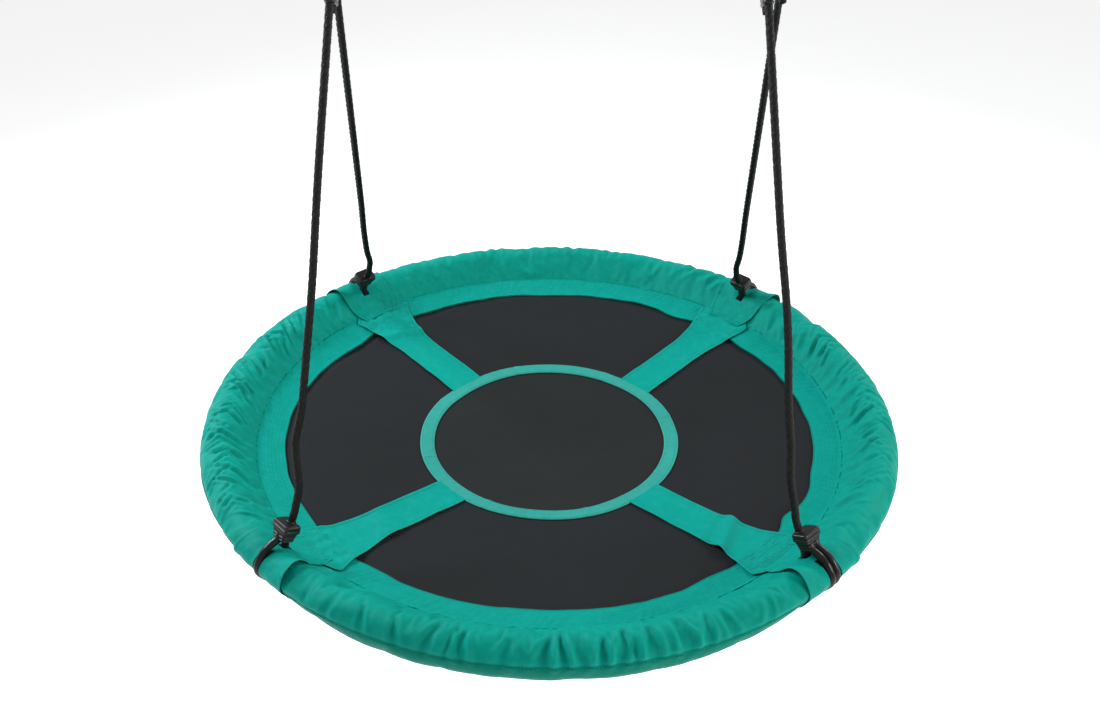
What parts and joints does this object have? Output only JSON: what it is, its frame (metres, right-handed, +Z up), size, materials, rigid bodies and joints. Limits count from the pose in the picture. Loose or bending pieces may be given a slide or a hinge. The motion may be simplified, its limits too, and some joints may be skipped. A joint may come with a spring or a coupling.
{
  "type": "saucer nest swing",
  "caption": "Round nest swing: padded fabric rim on a steel ring, sagging round mat with crossed straps and centre disc, hung from four black ropes in two pairs.",
  "frame": {"origin": "on the steel ring's axis, level with the lowest point of the mat, so the ring's plane is at z 57.4 mm", "axes": "+Z up, +X through the right hang point, +Y away from the front edge"},
  "size_m": [1.097, 1.097, 0.9271],
  "materials": {
    "frame_steel": "black powder coat",
    "screw_steel": "zinc plated",
    "ring_steel": "zinc plated, satin",
    "foam": "closed-cell foam",
    "rim_fabric": "coated woven polyester, soft sheen",
    "strap_webbing": "woven polyester, hemmed edges",
    "binding": "ribbed grosgrain tape",
    "mat_fabric": "charcoal coated weave, matt",
    "rope": "braided polyester",
    "hose": "soft glossy hose",
    "clamp": "moulded, semi-gloss"
  },
  "bodies": {
    "anchors": {"spring_hook_left": "ring_steel", "spring_hook_right": "ring_steel", "gate_pins": "screw_steel"},
    "rings": {"hang_ring_left": "ring_steel", "hang_ring_right": "ring_steel"},
    "left_ropes": {"rope_front_left": "rope", "rope_back_left": "rope"},
    "right_ropes": {"rope_front_right": "rope", "rope_back_right": "rope"},
    "seat": {"frame_tube_front": "frame_steel", "foam_sleeve_front": "foam", "rim_cover_front": "rim_fabric", "mat_sector_front": "mat_fabric", "frame_tube_right": "frame_steel", "foam_sleeve_right": "foam", "rim_cover_right": "rim_fabric", "mat_sector_right": "mat_fabric", "frame_tube_back": "frame_steel", "foam_sleeve_back": "foam", "rim_cover_back": "rim_fabric", "mat_sector_back": "mat_fabric", "frame_tube_left": "frame_steel", "foam_sleeve_left": "foam", "rim_cover_left": "rim_fabric", "mat_sector_left": "mat_fabric", "frame_joint_screws": "screw_steel", "mat_centre": "mat_fabric", "centre_binding": "binding", "corner_band_front_right": "rim_fabric", "mat_strap_front_right": "strap_webbing", "rope_loop_front_right": "rope", "rope_guard_front_right": "hose", "corner_band_back_right": "rim_fabric", "mat_strap_back_right": "strap_webbing", "rope_loop_back_right": "rope", "rope_guard_back_right": "hose", "corner_band_back_left": "rim_fabric", "mat_strap_back_left": "strap_webbing", "rope_loop_back_left": "rope", "rope_guard_back_left": "hose", "corner_band_front_left": "rim_fabric", "mat_strap_front_left": "strap_webbing", "rope_loop_front_left": "rope", "rope_guard_front_left": "hose"},
    "gate_left": {"hook_gate_left": "ring_steel", "gate_spring_left": "screw_steel"},
    "gate_right": {"hook_gate_right": "ring_steel", "gate_spring_right": "screw_steel"},
    "lower_adjuster_front_right": {"lower_clamp_front_right": "clamp", "lower_clamp_cap_front_right": "clamp"},
    "upper_adjuster_front_right": {"upper_clamp_front_right": "clamp"},
    "lower_adjuster_back_right": {"lower_clamp_back_right": "clamp", "lower_clamp_cap_back_right": "clamp"},
    "upper_adjuster_back_right": {"upper_clamp_back_right": "clamp"},
    "lower_adjuster_back_left": {"lower_clamp_back_left": "clamp", "lower_clamp_cap_back_left": "clamp"},
    "upper_adjuster_back_left": {"upper_clamp_back_left": "clamp"},
    "lower_adjuster_front_left": {"lower_clamp_front_left": "clamp", "lower_clamp_cap_front_left": "clamp"},
    "upper_adjuster_front_left": {"upper_clamp_front_left": "clamp"}
  },
  "joints": [
    {"name": "swing_fore_aft", "type": "hinge", "parent": "anchors", "child": "rings", "pos_m": [0, 0, 0.8614], "axis": [1, 0, 0], "range_deg": [-40, 40]},
    {"name": "sway", "type": "hinge", "parent": "rings", "child": "left_ropes", "pos_m": [-0.283, 0, 0.8294], "axis": [0, 1, 0], "range_deg": [-8, 8]},
    {"name": "seat_level", "type": "hinge", "parent": "left_ropes", "child": "seat", "pos_m": [-0.33755, 0, 0.12975], "axis": [0, 1, 0], "range_deg": [-6.8, 6.8]},
    {"name": "right_rope_lean", "type": "hinge", "parent": "seat", "child": "right_ropes", "pos_m": [0.33755, 0, 0.12975], "axis": [0, 1, 0], "range_deg": [-6.8, 6.8]},
    {"name": "gate_left_open", "type": "hinge", "parent": "anchors", "child": "gate_left", "pos_m": [-0.283, -0.013, 0.8721], "axis": [1, 0, 0], "range_deg": [-25, 0], "stiffness_Nm_per_rad": 0.03},
    {"name": "gate_right_open", "type": "hinge", "parent": "anchors", "child": "gate_right", "pos_m": [0.283, -0.013, 0.8721], "axis": [1, 0, 0], "range_deg": [-25, 0], "stiffness_Nm_per_rad": 0.03},
    {"name": "lower_clamp_slide_front_right", "type": "slide", "parent": "seat", "child": "lower_adjuster_front_right", "axis": [-0.321, 0.321, 0.891], "range_m": [0, 0.01]},
    {"name": "upper_clamp_slide_front_right", "type": "slide", "parent": "right_ropes", "child": "upper_adjuster_front_right", "axis": [0.0899, -0.4379, -0.8945], "range_m": [-0.012, 0.006]},
    {"name": "lower_clamp_slide_back_right", "type": "slide", "parent": "seat", "child": "lower_adjuster_back_right", "axis": [-0.321, -0.321, 0.891], "range_m": [0, 0.01]},
    {"name": "upper_clamp_slide_back_right", "type": "slide", "parent": "right_ropes", "child": "upper_adjuster_back_right", "axis": [0.0502, 0.4349, -0.8991], "range_m": [-0.012, 0.006]},
    {"name": "lower_clamp_slide_back_left", "type": "slide", "parent": "seat", "child": "lower_adjuster_back_left", "axis": [0.321, -0.321, 0.891], "range_m": [0, 0.01]},
    {"name": "upper_clamp_slide_back_left", "type": "slide", "parent": "left_ropes", "child": "upper_adjuster_back_left", "axis": [-0.0663, 0.4368, -0.8971], "range_m": [-0.012, 0.006]},
    {"name": "lower_clamp_slide_front_left", "type": "slide", "parent": "seat", "child": "lower_adjuster_front_left", "axis": [0.321, 0.321, 0.891], "range_m": [0, 0.01]},
    {"name": "upper_clamp_slide_front_left", "type": "slide", "parent": "left_ropes", "child": "upper_adjuster_front_left", "axis": [-0.0801, -0.4364, -0.8962], "range_m": [-0.012, 0.006]}
  ],
  "couplings": [
    {"joint": "seat_level", "follows": "sway", "ratio": -0.8384},
    {"joint": "right_rope_lean", "follows": "sway", "ratio": 0.8384}
  ]
}
